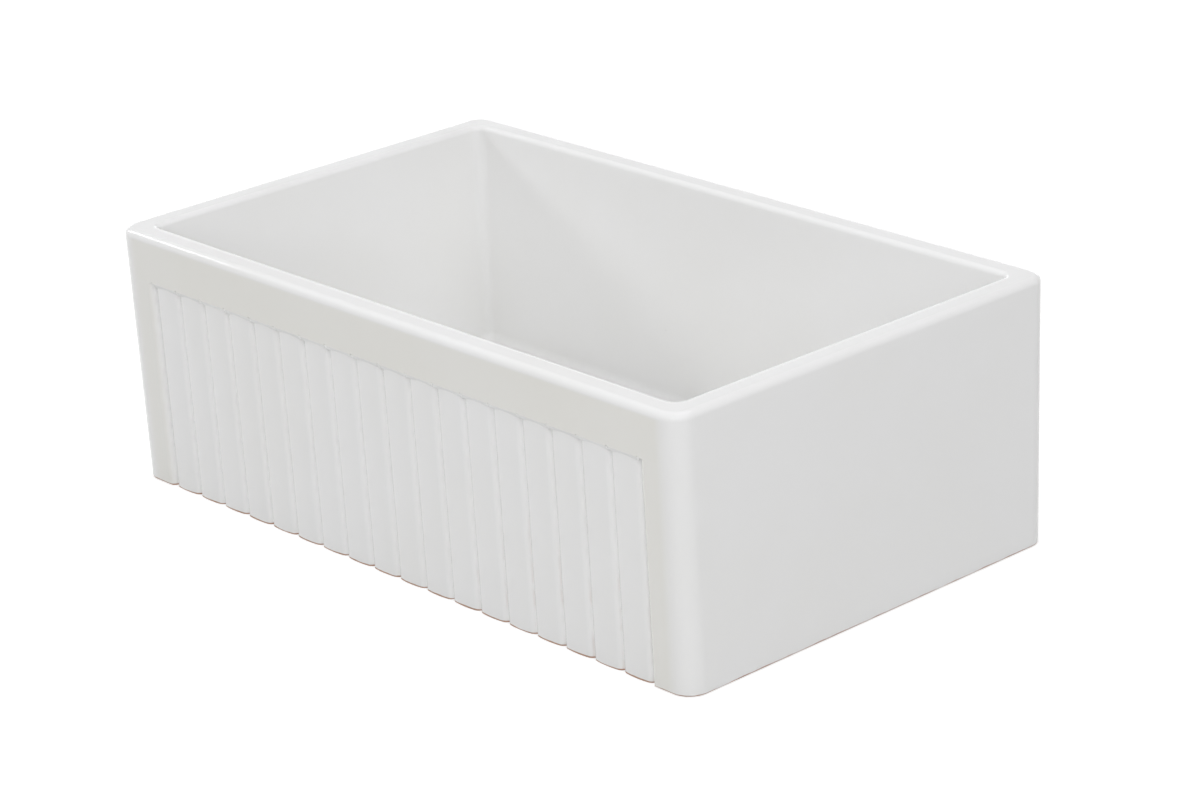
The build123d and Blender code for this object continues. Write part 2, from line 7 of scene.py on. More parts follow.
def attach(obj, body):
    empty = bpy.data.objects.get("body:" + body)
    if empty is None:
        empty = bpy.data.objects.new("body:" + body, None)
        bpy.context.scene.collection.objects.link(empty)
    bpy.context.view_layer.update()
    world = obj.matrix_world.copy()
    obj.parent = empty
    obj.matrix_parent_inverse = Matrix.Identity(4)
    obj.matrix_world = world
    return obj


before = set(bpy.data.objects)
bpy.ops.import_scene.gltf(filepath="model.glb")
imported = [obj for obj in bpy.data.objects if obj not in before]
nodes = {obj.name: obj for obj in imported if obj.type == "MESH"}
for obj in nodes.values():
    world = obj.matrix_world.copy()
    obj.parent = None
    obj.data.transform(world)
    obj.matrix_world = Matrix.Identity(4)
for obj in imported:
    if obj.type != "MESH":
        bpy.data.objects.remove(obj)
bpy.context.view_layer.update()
print("frame loaded:", len(nodes), "nodes")


def hexToLinear(code):
    # sRGB hex, as read off a colour card, to the linear values that Cycles wants
    parts = [int(code[i:i + 2], 16) / 255 for i in (1, 3, 5)]
    return [c / 12.92 if c <= 0.04045 else ((c + 0.055) / 1.055) ** 2.4 for c in parts] + [1.0]


def perMetre(mm):
    # texture scale for a pattern of this size in millimetres; the scene is in metres
    return 1000 / mm


def addNode(tree, kind, inputs=None, **settings):
    # inputs holds a value, a node's output or a node (its first output in use) for each socket,
    # by name or by number
    node = tree.nodes.new(kind)
    for name, value in settings.items():
        setattr(node, name, value)
    for key, value in (inputs or {}).items():
        if isinstance(value, bpy.types.Node):
            value = next(output for output in value.outputs if output.enabled)
        if isinstance(value, bpy.types.NodeSocket):
            tree.links.new(value, node.inputs[key])
        else:
            node.inputs[key].default_value = value
    return node


def startMaterial(name):
    material = bpy.data.materials.new(name)
    material.use_nodes = True
    material.node_tree.nodes.clear()
    return material, material.node_tree


def finishMaterial(tree, shader):
    addNode(tree, "ShaderNodeOutputMaterial", {"Surface": shader})


# camera, at the photograph's viewpoint
camera = {
    "azimuth": 48.401,            # degrees, round from the apron towards the right-hand end
    "elevation": 22.919,
    "roll": -2.903,
    "focalPixels": 3741.69,       # on a picture 1200 wide
    "place": (2.43229, -2.13607, 1.34962),
    "middle": (599.64, 523.56),   # where the lens axis meets the 1200 x 800 picture
    "pictureSize": (1200, 800),
    "sensor": 36,
    "clip": (0.1, 60),
}


def directionTo(azimuth, elevation):
    # unit vector, azimuth counted from straight before the apron
    flat = math.cos(elevation)
    return Vector((math.sin(azimuth) * flat, -math.cos(azimuth) * flat, math.sin(elevation)))


def makeCamera(plan):
    az, el, roll = (math.radians(plan[k]) for k in ("azimuth", "elevation", "roll"))
    back = directionTo(az, el)
    level = Vector((math.cos(az), math.sin(az), 0))
    upright = back.cross(level)
    right = math.cos(roll) * level + math.sin(roll) * upright
    up = math.cos(roll) * upright - math.sin(roll) * level
    wide, high = plan["pictureSize"]
    data = bpy.data.cameras.new("camera")
    data.sensor_width = plan["sensor"]
    data.lens = plan["focalPixels"] / wide * plan["sensor"]
    data.shift_x = (wide / 2 - plan["middle"][0]) / wide
    data.shift_y = (plan["middle"][1] - high / 2) / wide
    data.clip_start, data.clip_end = plan["clip"]
    obj = bpy.data.objects.new("camera", data)
    bpy.context.collection.objects.link(obj)
    turn = Matrix((right, up, back)).transposed().to_4x4()
    obj.matrix_world = Matrix.Translation(plan["place"]) @ turn
    bpy.context.scene.camera = obj


makeCamera(camera)

# floor, world and lamps
studio = {
    "floorHalf": 9.0,
    "floorDrop": 0.0003,          # just under the basin's foot
    "wasteHole": 0.075,           # the waste goes down through the stand
    "holeSteps": 64,
    "floorPaint": "#c4c4c3",
    "liftNear": 0.60,             # what the camera gets on top of the floor's own light
    "liftFar": 0.78,
    "liftFrom": 0.9,              # metres from the middle
    "liftTo": 3.2,
    "skyLevel": 0.45,             # what the world gives as light
    "ceilingLevel": 0.62,         # what it shows overhead; round the horizon it is white
    "whiteUpTo": 0.17, "greyFrom": 0.29,       # heights on the sky's sphere, 0 to 1
    "aimHeight": 0.12,            # the lamps look at the sink's middle
}
lamps = {
    # name: azimuth, elevation, distance, width, height, watts, colour
    "front": (42, 28, 6.0, 3.6, 3.6, 100.0, "#fcfcff"),
    "right": (75, 36, 6.0, 3.0, 3.0, 34.0, "#fcfcff"),
    "left": (-76, 29, 6.5, 1.2, 1.2, 108.0, "#fcfcff"),
    "overhead": (150, 74, 6.0, 3.6, 3.6, 72.0, "#fcfcff"),
    "backPanel": (-135, 7, 7.0, 7.0, 1.5, 36.0, "#fcfcff"),      # bright line on inner edges
    "ceilingSpot": (27, 62, 5.0, 0.12, 0.12, 14.0, "#ffffff"),   # bright dots on the corners
}


def seenDirectly(tree):
    # 1 for what the camera, a mirror or a glass shows of the backdrop, 0 for the light it gives
    paths = addNode(tree, "ShaderNodeLightPath")
    seen = addNode(tree, "ShaderNodeMath", {
        0: paths.outputs["Is Camera Ray"], 1: paths.outputs["Is Glossy Ray"]}, operation="MAXIMUM")
    shown = addNode(tree, "ShaderNodeMath", {
        0: seen, 1: paths.outputs["Is Transmission Ray"]}, operation="MAXIMUM")
    return paths, shown


def makeFloor(plan):
    # one ring round the waste's hole; from below it is clear, so that the waste can be looked at
    steps = plan["holeSteps"]
    turns = [2 * math.pi * i / steps for i in range(steps)]
    points = [(size * math.cos(turn), size * math.sin(turn), -plan["floorDrop"])
              for size in (plan["wasteHole"], plan["floorHalf"]) for turn in turns]
    faces = [(steps + i, steps + (i + 1) % steps, (i + 1) % steps, i) for i in range(steps)]
    mesh = bpy.data.meshes.new("floor")
    mesh.from_pydata(points, [], faces)
    floor = bpy.data.objects.new("floor", mesh)
    bpy.context.collection.objects.link(floor)
    # matt painted board: pale and even, with the sink's soft shadow on it
    material, tree = startMaterial("Matt board, painted pale grey")
    paths, shown = seenDirectly(tree)
    place = addNode(tree, "ShaderNodeTexCoord").outputs["Object"]
    away = addNode(tree, "ShaderNodeVectorMath", {0: place}, operation="LENGTH")
    level = addNode(tree, "ShaderNodeMapRange", {
        "Value": away, "From Min": plan["liftFrom"], "From Max": plan["liftTo"],
        "To Min": plan["liftNear"], "To Max": plan["liftFar"]})
    lift = addNode(tree, "ShaderNodeMath", {0: shown, 1: level}, operation="MULTIPLY")
    paint = addNode(tree, "ShaderNodeBsdfDiffuse", {"Color": hexToLinear(plan["floorPaint"])})
    glow = addNode(tree, "ShaderNodeEmission", {"Strength": lift})
    both = addNode(tree, "ShaderNodeAddShader", {0: paint, 1: glow})
    side = addNode(tree, "ShaderNodeNewGeometry").outputs["Backfacing"]
    below = addNode(tree, "ShaderNodeMath", {
        0: side, 1: paths.outputs["Is Camera Ray"]}, operation="MULTIPLY")
    clear = addNode(tree, "ShaderNodeBsdfTransparent")
    finishMaterial(tree, addNode(tree, "ShaderNodeMixShader", {0: below, 1: both, 2: clear}))
    mesh.materials.append(material)


def makeWorld(plan):
    world = bpy.data.worlds.new("studio")
    bpy.context.scene.world = world
    world.use_nodes = True
    tree = world.node_tree
    tree.nodes.clear()
    shown = seenDirectly(tree)[1]
    towards = addNode(tree, "ShaderNodeTexCoord").outputs["Generated"]
    facing = addNode(tree, "ShaderNodeSeparateXYZ", {0: towards})
    backdrop = addNode(tree, "ShaderNodeMapRange", {
        "Value": facing.outputs["Z"], "From Min": plan["whiteUpTo"], "From Max": plan["greyFrom"],
        "To Min": 1.0, "To Max": plan["ceilingLevel"]}, interpolation_type="SMOOTHSTEP")
    level = addNode(tree, "ShaderNodeMapRange", {
        "Value": shown, "To Min": plan["skyLevel"], "To Max": backdrop})
    sky = addNode(tree, "ShaderNodeBackground", {"Color": (1, 1, 1, 1), "Strength": level})
    addNode(tree, "ShaderNodeOutputWorld", {"Surface": sky})


def makeLamp(name, azimuth, elevation, distance, width, height, watts, tint):
    away = directionTo(math.radians(azimuth), math.radians(elevation))
    data = bpy.data.lights.new(name, "AREA")
    data.shape = "RECTANGLE"
    data.size, data.size_y = width, height
    data.energy = watts
    data.color = hexToLinear(tint)[:3]
    obj = bpy.data.objects.new(name, data)
    bpy.context.collection.objects.link(obj)
    obj.location = away * distance + Vector((0, 0, studio["aimHeight"]))
    obj.rotation_euler = away.to_track_quat("Z", "Y").to_euler()


makeFloor(studio)
makeWorld(studio)
for lampName, lampPlan in lamps.items():
    makeLamp(lampName, *lampPlan)
bpy.context.scene.view_settings.view_transform = "Standard"
print("camera, floor and light done")

# finishes: one material for each slot of the record
fireclay = {
    "glaze": "#f3f3f2",
    "warmGlaze": "#ecebe5",
    "bareClay": "#c3a08a",
    "clayShade": "#a98671",
    "iron": "#b98f7b",
    "speck": "#7d736b",
    "glazeRoughness": 0.11,
    "clayRoughness": 0.85,
    "ior": 1.52,
    # places on the apron, in metres
    "frontFrom": -0.214, "frontFade": 0.006,   # only the apron lies in front of this
    "bandLine": 0.2073, "bandFade": 0.001,     # the plain band starts here
    "fieldHalf": 0.333, "marginFade": 0.006,   # half the width of the slats' field
    "valleyPitch": 0.037,
    "cornerFrom": 0.353, "cornerTo": 0.367,    # the warm tone fades towards the corner's round
    "rimFrom": 0.2455, "rimTo": 0.2485,        # and towards the rim's
    "bareHeight": 0.0013,         # the glaze was wiped off the foot up to about here
    "bareFull": -0.0004, "bareGone": 0.0003,   # over that edge
    # the warm tone
    "plainShare": 0.85,           # on the band
    "marginShare": 0.9,           # of the band's warmth, on the margins
    "cloudMm": 130,               # the tone drifts at random over this distance
    "cloudFrom": 0.35, "cloudTo": 0.7, "cloudShare": 0.15,
    # the iron in the valleys
    "ironMm": 26, "ironShare": 0.16,
    "ironPatchFrom": 0.47, "ironPatchTo": 0.62,
    "ironFull": 0.0008, "ironGone": 0.0022,    # from a valley's line
    "ironOver": 0.003, "ironOut": 0.005,       # past the last valley
    "ironLeft": -0.12, "ironRight": 0.30, "ironTop": 0.16,
    # relief, specks and marks
    "waveMm": 85,                 # the clay wall's own unevenness
    "waveHeight": 0.00035,
    "peelMm": 5,                  # sprayed glaze settles in dimples of 2-3 mm, drawn double
    "peelHeight": 0.000016,
    "gritMm": 1.6,                # grog in the bare clay, 0.5-1 mm, drawn coarser
    "gritHeight": 0.0003,
    "speckMm": 62,                # about one speck in a patch of this size
    "speckSize": 0.0075,          # share of the patch
    "speckCore": 0.6,             # share of the speck that has its full tone
    "speckShare": 0.7,
    "speckless": 0.55,            # share of the patches that have none
    "wipeMm": 22, "wipeSpread": 0.0028,        # the wiped edge wanders
    "mottleMm": 14,
    "markMm": 34, "markFrom": 0.35, "markTo": 0.7, "markRoughness": 0.07,
}


def makeFireclay(plan):
    # thick white glaze, sprayed on and fired: soft broad reflections on a slightly uneven wall,
    # warmer and darker on the apron's plain band, and bare tan clay under the foot
    material, tree = startMaterial("Fireclay, sprayed with white glaze and fired")
    place = addNode(tree, "ShaderNodeTexCoord").outputs["Object"]
    x, y, z = addNode(tree, "ShaderNodeSeparateXYZ", {0: place}).outputs
    across = addNode(tree, "ShaderNodeMath", {0: x}, operation="ABSOLUTE")
    onApron = addNode(tree, "ShaderNodeMapRange", {
        "Value": y, "From Min": plan["frontFrom"] - plan["frontFade"],
        "From Max": plan["frontFrom"], "To Min": 1.0, "To Max": 0.0},
        interpolation_type="SMOOTHSTEP")

    # a darker, warmer tone on the apron's plain band and margins, gone before the outer rounds
    onBand = addNode(tree, "ShaderNodeMapRange", {
        "Value": z, "From Min": plan["bandLine"] - plan["bandFade"],
        "From Max": plan["bandLine"] + plan["bandFade"]}, interpolation_type="SMOOTHSTEP")
    onMargin = addNode(tree, "ShaderNodeMapRange", {
        "Value": across, "From Min": plan["fieldHalf"],
        "From Max": plan["fieldHalf"] + plan["marginFade"],
        "To Max": plan["marginShare"]}, interpolation_type="SMOOTHSTEP")
    beforeCorner = addNode(tree, "ShaderNodeMapRange", {
        "Value": across, "From Min": plan["cornerFrom"], "From Max": plan["cornerTo"],
        "To Min": 1.0, "To Max": 0.0}, interpolation_type="SMOOTHSTEP")
    belowRim = addNode(tree, "ShaderNodeMapRange", {
        "Value": z, "From Min": plan["rimFrom"], "From Max": plan["rimTo"],
        "To Min": 1.0, "To Max": 0.0}, interpolation_type="SMOOTHSTEP")
    plain = addNode(tree, "ShaderNodeMath", {0: onBand, 1: onMargin}, operation="MAXIMUM")
    kept = addNode(tree, "ShaderNodeMath", {0: beforeCorner, 1: belowRim}, operation="MULTIPLY")
    plainKept = addNode(tree, "ShaderNodeMath", {0: plain, 1: kept}, operation="MULTIPLY")
    warmPart = addNode(tree, "ShaderNodeMath", {0: plainKept, 1: onApron}, operation="MULTIPLY")
    clouds = addNode(tree, "ShaderNodeTexNoise", {
        "Vector": place, "Scale": perMetre(plan["cloudMm"]), "Detail": 3.0})
    drift = addNode(tree, "ShaderNodeMapRange", {
        "Value": clouds, "From Min": plan["cloudFrom"], "From Max": plan["cloudTo"],
        "To Max": plan["cloudShare"]}, interpolation_type="SMOOTHSTEP")
    warmth = addNode(tree, "ShaderNodeMath", {
        0: warmPart, 1: plan["plainShare"], 2: drift}, operation="MULTIPLY_ADD")
    glazed = addNode(tree, "ShaderNodeMix", {
        "Factor": warmth, 6: hexToLinear(plan["glaze"]), 7: hexToLinear(plan["warmGlaze"])},
        data_type="RGBA")

    # iron from the clay shows faintly in the valleys, mostly low on the right
    fromEnd = addNode(tree, "ShaderNodeMath", {0: x, 1: plan["fieldHalf"]}, operation="ADD")
    fromValley = addNode(tree, "ShaderNodeMath", {
        0: fromEnd, 1: plan["valleyPitch"] / 2}, operation="PINGPONG")
    inValley = addNode(tree, "ShaderNodeMapRange", {
        "Value": fromValley, "From Min": plan["ironFull"], "From Max": plan["ironGone"],
        "To Min": 1.0, "To Max": 0.0}, interpolation_type="SMOOTHSTEP")
    inField = addNode(tree, "ShaderNodeMapRange", {
        "Value": across, "From Min": plan["fieldHalf"] + plan["ironOver"],
        "From Max": plan["fieldHalf"] + plan["ironOut"],
        "To Min": 1.0, "To Max": 0.0}, interpolation_type="SMOOTHSTEP")
    onRight = addNode(tree, "ShaderNodeMapRange", {
        "Value": x, "From Min": plan["ironLeft"], "From Max": plan["ironRight"]},
        interpolation_type="SMOOTHSTEP")
    low = addNode(tree, "ShaderNodeMapRange", {
        "Value": z, "From Min": 0.0, "From Max": plan["ironTop"], "To Min": 1.0, "To Max": 0.0},
        interpolation_type="SMOOTHSTEP")
    ironNoise = addNode(tree, "ShaderNodeTexNoise", {
        "Vector": place, "Scale": perMetre(plan["ironMm"])})
    iron = addNode(tree, "ShaderNodeMapRange", {
        "Value": ironNoise, "From Min": plan["ironPatchFrom"], "From Max": plan["ironPatchTo"],
        "To Max": plan["ironShare"]}, interpolation_type="SMOOTHSTEP")
    for share in (inValley, inField, onRight, low, onApron):
        iron = addNode(tree, "ShaderNodeMath", {0: iron, 1: share}, operation="MULTIPLY")
    stained = addNode(tree, "ShaderNodeMix", {
        "Factor": iron, 6: glazed, 7: hexToLinear(plan["iron"])}, data_type="RGBA")

    # pinholes and specks
    cells = addNode(tree, "ShaderNodeTexVoronoi", {
        "Vector": place, "Scale": perMetre(plan["speckMm"])})
    number = addNode(tree, "ShaderNodeSeparateXYZ", {0: cells.outputs["Color"]})
    chosen = addNode(tree, "ShaderNodeMath", {0: number, 1: plan["speckless"]},
                     operation="GREATER_THAN")
    dot = addNode(tree, "ShaderNodeMapRange", {
        "Value": cells, "From Min": plan["speckSize"] * plan["speckCore"],
        "From Max": plan["speckSize"], "To Min": plan["speckShare"], "To Max": 0.0},
        interpolation_type="SMOOTHSTEP")
    speck = addNode(tree, "ShaderNodeMath", {0: dot, 1: chosen}, operation="MULTIPLY")
    specked = addNode(tree, "ShaderNodeMix", {
        "Factor": speck, 6: stained, 7: hexToLinear(plan["speck"])}, data_type="RGBA")

    # the foot, wiped before firing, and the underside
    edgeNoise = addNode(tree, "ShaderNodeTexNoise", {
        "Vector": place, "Scale": perMetre(plan["wipeMm"]), "Detail": 4.0})
    edge = addNode(tree, "ShaderNodeMath", {
        0: edgeNoise, 1: plan["wipeSpread"], 2: plan["bareHeight"] - plan["wipeSpread"] / 2},
        operation="MULTIPLY_ADD")
    above = addNode(tree, "ShaderNodeMath", {0: z, 1: edge}, operation="SUBTRACT")
    bare = addNode(tree, "ShaderNodeMapRange", {
        "Value": above, "From Min": plan["bareFull"], "From Max": plan["bareGone"],
        "To Min": 1.0, "To Max": 0.0}, interpolation_type="SMOOTHSTEP")
    mottle = addNode(tree, "ShaderNodeTexNoise", {
        "Vector": place, "Scale": perMetre(plan["mottleMm"]), "Detail": 5.0, "Roughness": 0.65})
    clay = addNode(tree, "ShaderNodeMix", {
        "Factor": mottle, 6: hexToLinear(plan["bareClay"]), 7: hexToLinear(plan["clayShade"])},
        data_type="RGBA")
    colour = addNode(tree, "ShaderNodeMix", {"Factor": bare, 6: specked, 7: clay}, data_type="RGBA")

    # roughness: clear glaze with wipe marks, then dry clay
    marks = addNode(tree, "ShaderNodeTexNoise", {
        "Vector": place, "Scale": perMetre(plan["markMm"]), "Detail": 4.0, "Roughness": 0.6})
    glossy = addNode(tree, "ShaderNodeMapRange", {
        "Value": marks, "From Min": plan["markFrom"], "From Max": plan["markTo"],
        "To Min": plan["glazeRoughness"],
        "To Max": plan["glazeRoughness"] + plan["markRoughness"]}, interpolation_type="SMOOTHSTEP")
    roughness = addNode(tree, "ShaderNodeMix", {
        "Factor": bare, 2: glossy, 3: plan["clayRoughness"]})

    # relief: the uneven wall, the sprayed glaze, and the grit of the bare clay
    wall = addNode(tree, "ShaderNodeTexNoise", {
        "Vector": place, "Scale": perMetre(plan["waveMm"]), "Detail": 1.0})
    wave = addNode(tree, "ShaderNodeBump", {
        "Strength": 1.0, "Distance": plan["waveHeight"], "Height": wall})
    dimples = addNode(tree, "ShaderNodeTexNoise", {
        "Vector": place, "Scale": perMetre(plan["peelMm"]), "Detail": 1.0})
    peel = addNode(tree, "ShaderNodeBump", {
        "Strength": 1.0, "Distance": plan["peelHeight"], "Height": dimples, "Normal": wave})
    grog = addNode(tree, "ShaderNodeTexNoise", {
        "Vector": place, "Scale": perMetre(plan["gritMm"]), "Detail": 3.0})
    grit = addNode(tree, "ShaderNodeBump", {
        "Strength": bare, "Distance": plan["gritHeight"], "Height": grog, "Normal": peel})
    shader = addNode(tree, "ShaderNodeBsdfPrincipled", {
        "Base Color": colour, "Roughness": roughness, "IOR": plan["ior"], "Normal": grit})
    finishMaterial(tree, shader)
    return material


# what all turned metals share: where the rings' noise and the dried spots start and end
turnedMarks = {"ringFrom": 0.3, "ringTo": 0.7, "spotCore": 0.18, "spotEdge": 0.26}
# and all moulded pieces: the tone follows grain and clouds together, the gloss the clouds alone
mouldedMarks = {"toneFrom": 0.7, "toneTo": 1.3, "cloudFrom": 0.3, "cloudTo": 0.7,
                "glowDepth": 0.002}


def makeTurnedMetal(name, plan):
    # rings left by spinning or turning about the sink's vertical axis, over a faint drift in the
    # surface, with marks where water dried or fingers held it
    material, tree = startMaterial(name)
    place = addNode(tree, "ShaderNodeTexCoord").outputs["Object"]
    x, y, z = addNode(tree, "ShaderNodeSeparateXYZ", {0: place}).outputs
    flat = addNode(tree, "ShaderNodeCombineXYZ", {0: x, 1: y})
    radius = addNode(tree, "ShaderNodeVectorMath", {0: flat}, operation="LENGTH")
    ringPlace = addNode(tree, "ShaderNodeCombineXYZ", {0: radius, 1: z})
    rings = addNode(tree, "ShaderNodeTexNoise", {
        "Vector": ringPlace, "Scale": perMetre(plan["ringMm"]), "Detail": 3.0, "Roughness": 0.6},
        noise_dimensions="2D")
    drift = addNode(tree, "ShaderNodeTexNoise", {
        "Vector": place, "Scale": perMetre(plan["driftMm"]), "Detail": 4.0, "Roughness": 0.6})
    spots = addNode(tree, "ShaderNodeTexVoronoi", {
        "Vector": place, "Scale": perMetre(plan["spotMm"])})
    spotted = addNode(tree, "ShaderNodeMapRange", {
        "Value": spots, "From Min": turnedMarks["spotCore"], "From Max": turnedMarks["spotEdge"],
        "To Min": 1.0, "To Max": 0.0}, interpolation_type="SMOOTHSTEP")
    tone = addNode(tree, "ShaderNodeMix", {
        "Factor": rings, 6: hexToLinear(plan["dark"]), 7: hexToLinear(plan["light"])},
        data_type="RGBA")
    dullness = addNode(tree, "ShaderNodeMath", {0: drift, 1: plan["driftTone"]},
                       operation="MULTIPLY")
    colour = addNode(tree, "ShaderNodeMix", {
        "Factor": dullness, 6: tone, 7: hexToLinear(plan["dark"])}, data_type="RGBA")
    lined = addNode(tree, "ShaderNodeMapRange", {
        "Value": rings, "From Min": turnedMarks["ringFrom"], "From Max": turnedMarks["ringTo"],
        "To Min": plan["roughness"] - plan["roughnessSpread"],
        "To Max": plan["roughness"] + plan["roughnessSpread"]})
    roughness = addNode(tree, "ShaderNodeMath", {
        0: spotted, 1: plan["spotRoughness"], 2: lined}, operation="MULTIPLY_ADD")
    relief = addNode(tree, "ShaderNodeBump", {
        "Strength": 1.0, "Distance": plan["ringHeight"], "Height": rings})
    shader = addNode(tree, "ShaderNodeBsdfPrincipled", {
        "Base Color": colour, "Metallic": 1.0, "Roughness": roughness, "Normal": relief})
    finishMaterial(tree, shader)
    return material


def makeMoulded(name, plan):
    # a grain over the whole surface, cloudy tone, and duller patches where it was handled
    material, tree = startMaterial(name)
    place = addNode(tree, "ShaderNodeTexCoord").outputs["Object"]
    stretched = addNode(tree, "ShaderNodeMapping", {
        "Vector": place, "Scale": plan.get("stretch", (1, 1, 1))})
    grain = addNode(tree, "ShaderNodeTexNoise", {
        "Vector": stretched, "Scale": perMetre(plan["grainMm"]), "Detail": 4.0, "Roughness": 0.6})
    clouds = addNode(tree, "ShaderNodeTexNoise", {
        "Vector": place, "Scale": perMetre(plan["cloudMm"]), "Detail": 3.0})
    mixed = addNode(tree, "ShaderNodeMath", {0: grain, 1: clouds}, operation="ADD")
    share = addNode(tree, "ShaderNodeMapRange", {
        "Value": mixed, "From Min": mouldedMarks["toneFrom"], "From Max": mouldedMarks["toneTo"]})
    colour = addNode(tree, "ShaderNodeMix", {
        "Factor": share, 6: hexToLinear(plan["dark"]), 7: hexToLinear(plan["light"])},
        data_type="RGBA")
    roughness = addNode(tree, "ShaderNodeMapRange", {
        "Value": clouds, "From Min": mouldedMarks["cloudFrom"], "From Max": mouldedMarks["cloudTo"],
        "To Min": plan["roughness"] - plan["roughnessSpread"],
        "To Max": plan["roughness"] + plan["roughnessSpread"]})
    relief = addNode(tree, "ShaderNodeBump", {
        "Strength": 1.0, "Distance": plan["grainHeight"], "Height": grain})
    shader = addNode(tree, "ShaderNodeBsdfPrincipled", {
        "Base Color": colour, "Metallic": plan.get("metallic", 0.0), "Roughness": roughness,
        "IOR": plan.get("ior", 1.5), "Subsurface Weight": plan.get("glowThrough", 0.0),
        "Subsurface Scale": mouldedMarks["glowDepth"], "Normal": relief})
    finishMaterial(tree, shader)
    return material


spunStainless = {
    "light": "#cfcdc9", "dark": "#b4b2ae", "driftTone": 0.35,
    "ringMm": 0.9,                # spinning leaves lines of 0.1-0.3 mm, drawn coarser
    "ringHeight": 0.00002,
    "driftMm": 30, "spotMm": 9, "spotRoughness": 0.05,
    "roughness": 0.27, "roughnessSpread": 0.07,
}
polishedSteel = {
    "light": "#d6d5d2", "dark": "#c2c1be", "driftTone": 0.25,
    "ringMm": 0.6, "ringHeight": 0.000004,
    "driftMm": 12, "spotMm": 7, "spotRoughness": 0.06,
    "roughness": 0.08, "roughnessSpread": 0.03,
}
springSteel = {
    "light": "#a3a6ab", "dark": "#7f838a", "driftTone": 0.5,
    "ringMm": 0.35, "ringHeight": 0.00001,
    "driftMm": 4, "spotMm": 5, "spotRoughness": 0.05,
    "roughness": 0.33, "roughnessSpread": 0.06,
}
bearingSteel = {
    "light": "#cfd1d4", "dark": "#bfc1c5", "driftTone": 0.3,
    "ringMm": 0.4, "ringHeight": 0.000002,
    "driftMm": 2, "spotMm": 2.5, "spotRoughness": 0.04,
    "roughness": 0.06, "roughnessSpread": 0.02,
}
chromePlate = {
    "light": "#cacccd", "dark": "#bdbfc1", "driftTone": 0.3,
    "ringMm": 1.4, "ringHeight": 0.000003,
    "driftMm": 18, "spotMm": 8, "spotRoughness": 0.08,
    "roughness": 0.06, "roughnessSpread": 0.02,
}
castZinc = {
    "light": "#b3b5b6", "dark": "#8b8d8f", "metallic": 1.0,
    "grainMm": 1.8,               # the die's skin, drawn a little coarse
    "grainHeight": 0.00008, "cloudMm": 14,
    "roughness": 0.42, "roughnessSpread": 0.07,
}
blackRubber = {
    "light": "#2c2c2d", "dark": "#161617", "ior": 1.52,
    "grainMm": 0.9,               # spark-eroded mould face, drawn coarser
    "grainHeight": 0.00003, "cloudMm": 9,
    "roughness": 0.58, "roughnessSpread": 0.08,
}
vulcanisedFibre = {
    "light": "#9c5c48", "dark": "#6f3b2d", "ior": 1.5,
    "grainMm": 1.2, "stretch": (0.35, 1.0, 1.0),   # paper fibres lie along the sheet
    "grainHeight": 0.00006, "cloudMm": 11,
    "roughness": 0.68, "roughnessSpread": 0.06,
}
whitePolyethylene = {
    "light": "#eeefec", "dark": "#dddeda", "ior": 1.51, "glowThrough": 0.25,
    "grainMm": 1.5, "grainHeight": 0.00002, "cloudMm": 12,
    "roughness": 0.4, "roughnessSpread": 0.05,
}
whiteAcetal = {
    "light": "#f0efea", "dark": "#e2e0d9", "ior": 1.48, "glowThrough": 0.15,
    "grainMm": 0.8, "grainHeight": 0.000015, "cloudMm": 8,
    "roughness": 0.32, "roughnessSpread": 0.05,
}
sealingPutty = {
    "light": "#c6bba6", "dark": "#a79b84", "ior": 1.48,
    "grainMm": 2.4, "grainHeight": 0.0003, "cloudMm": 9,
    "roughness": 0.66, "roughnessSpread": 0.1,
}

finishes = {
    "glazed_fireclay": makeFireclay(fireclay),
    # spun from sheet: soft grey with fine rings
    "stainless_steel": makeTurnedMetal("Stainless steel, spun", spunStainless),
    # turned and buffed: a near mirror
    "polished_steel": makeTurnedMetal("Stainless steel, turned and polished", polishedSteel),
    # cold drawn wire and stamped strip: a darker, bluish grey
    "spring_steel": makeTurnedMetal("Spring steel, cold drawn", springSteel),
    # ground balls: mirror bright
    "bearing_steel": makeTurnedMetal("Bearing steel, ground", bearingSteel),
    # thin chrome over polished brass: a cool mirror
    "chromed_brass": makeTurnedMetal("Brass, chromium plated", chromePlate),
    # dull light grey with a faint pebbled skin
    "cast_zinc": makeMoulded("Zinc, die-cast", castZinc),
    # dull black with a dusty bloom
    "black_rubber": makeMoulded("EPDM rubber, moulded", blackRubber),
    # hard red-brown sheet with paper fibres in it
    "vulcanised_fibre": makeMoulded("Vulcanised fibre, punched from sheet", vulcanisedFibre),
    # waxy, slightly translucent white
    "white_polyethylene": makeMoulded("Polyethylene, moulded", whitePolyethylene),
    # denser, smoother white
    "white_acetal": makeMoulded("Acetal, moulded", whiteAcetal),
    # soft off-white paste, pressed out by the flange
    "putty": makeMoulded("Sealing putty, hand rolled", sealingPutty),
}
for node in nodes.values():
    for slot in node.material_slots:
        slot.material = finishes[slot.material.name.split(".")[0]]
print("finishes done:", len(finishes))

# threads, cut on the strainer body: one ridge each, that winds round and runs out at its ends
threads = {
    # name: core radius, pitch, lowest point, run, ridge height, width at its root and its crest
    "neck_thread": (0.0430, 0.0021, -0.0196, 0.0190, 0.00050, 0.0017, 0.0004),
    "spigot_thread": (0.0235, 0.0022, -0.0494, 0.0180, 0.00060, 0.0018, 0.0004),
}
threadInputs = ("Core radius", "Pitch", "Lowest point", "Run", "Ridge height", "Root width",
                "Crest width")
threadShape = {
    "stepsPerTurn": 60,
    "bite": 0.0002,               # the ridge's root sinks this far into the metal
    "runOut": 3.0,                # full height after a third of a turn
    "endShare": 0.15,             # what is left of the ridge at its very end
    "sharpAngle": 30,
}


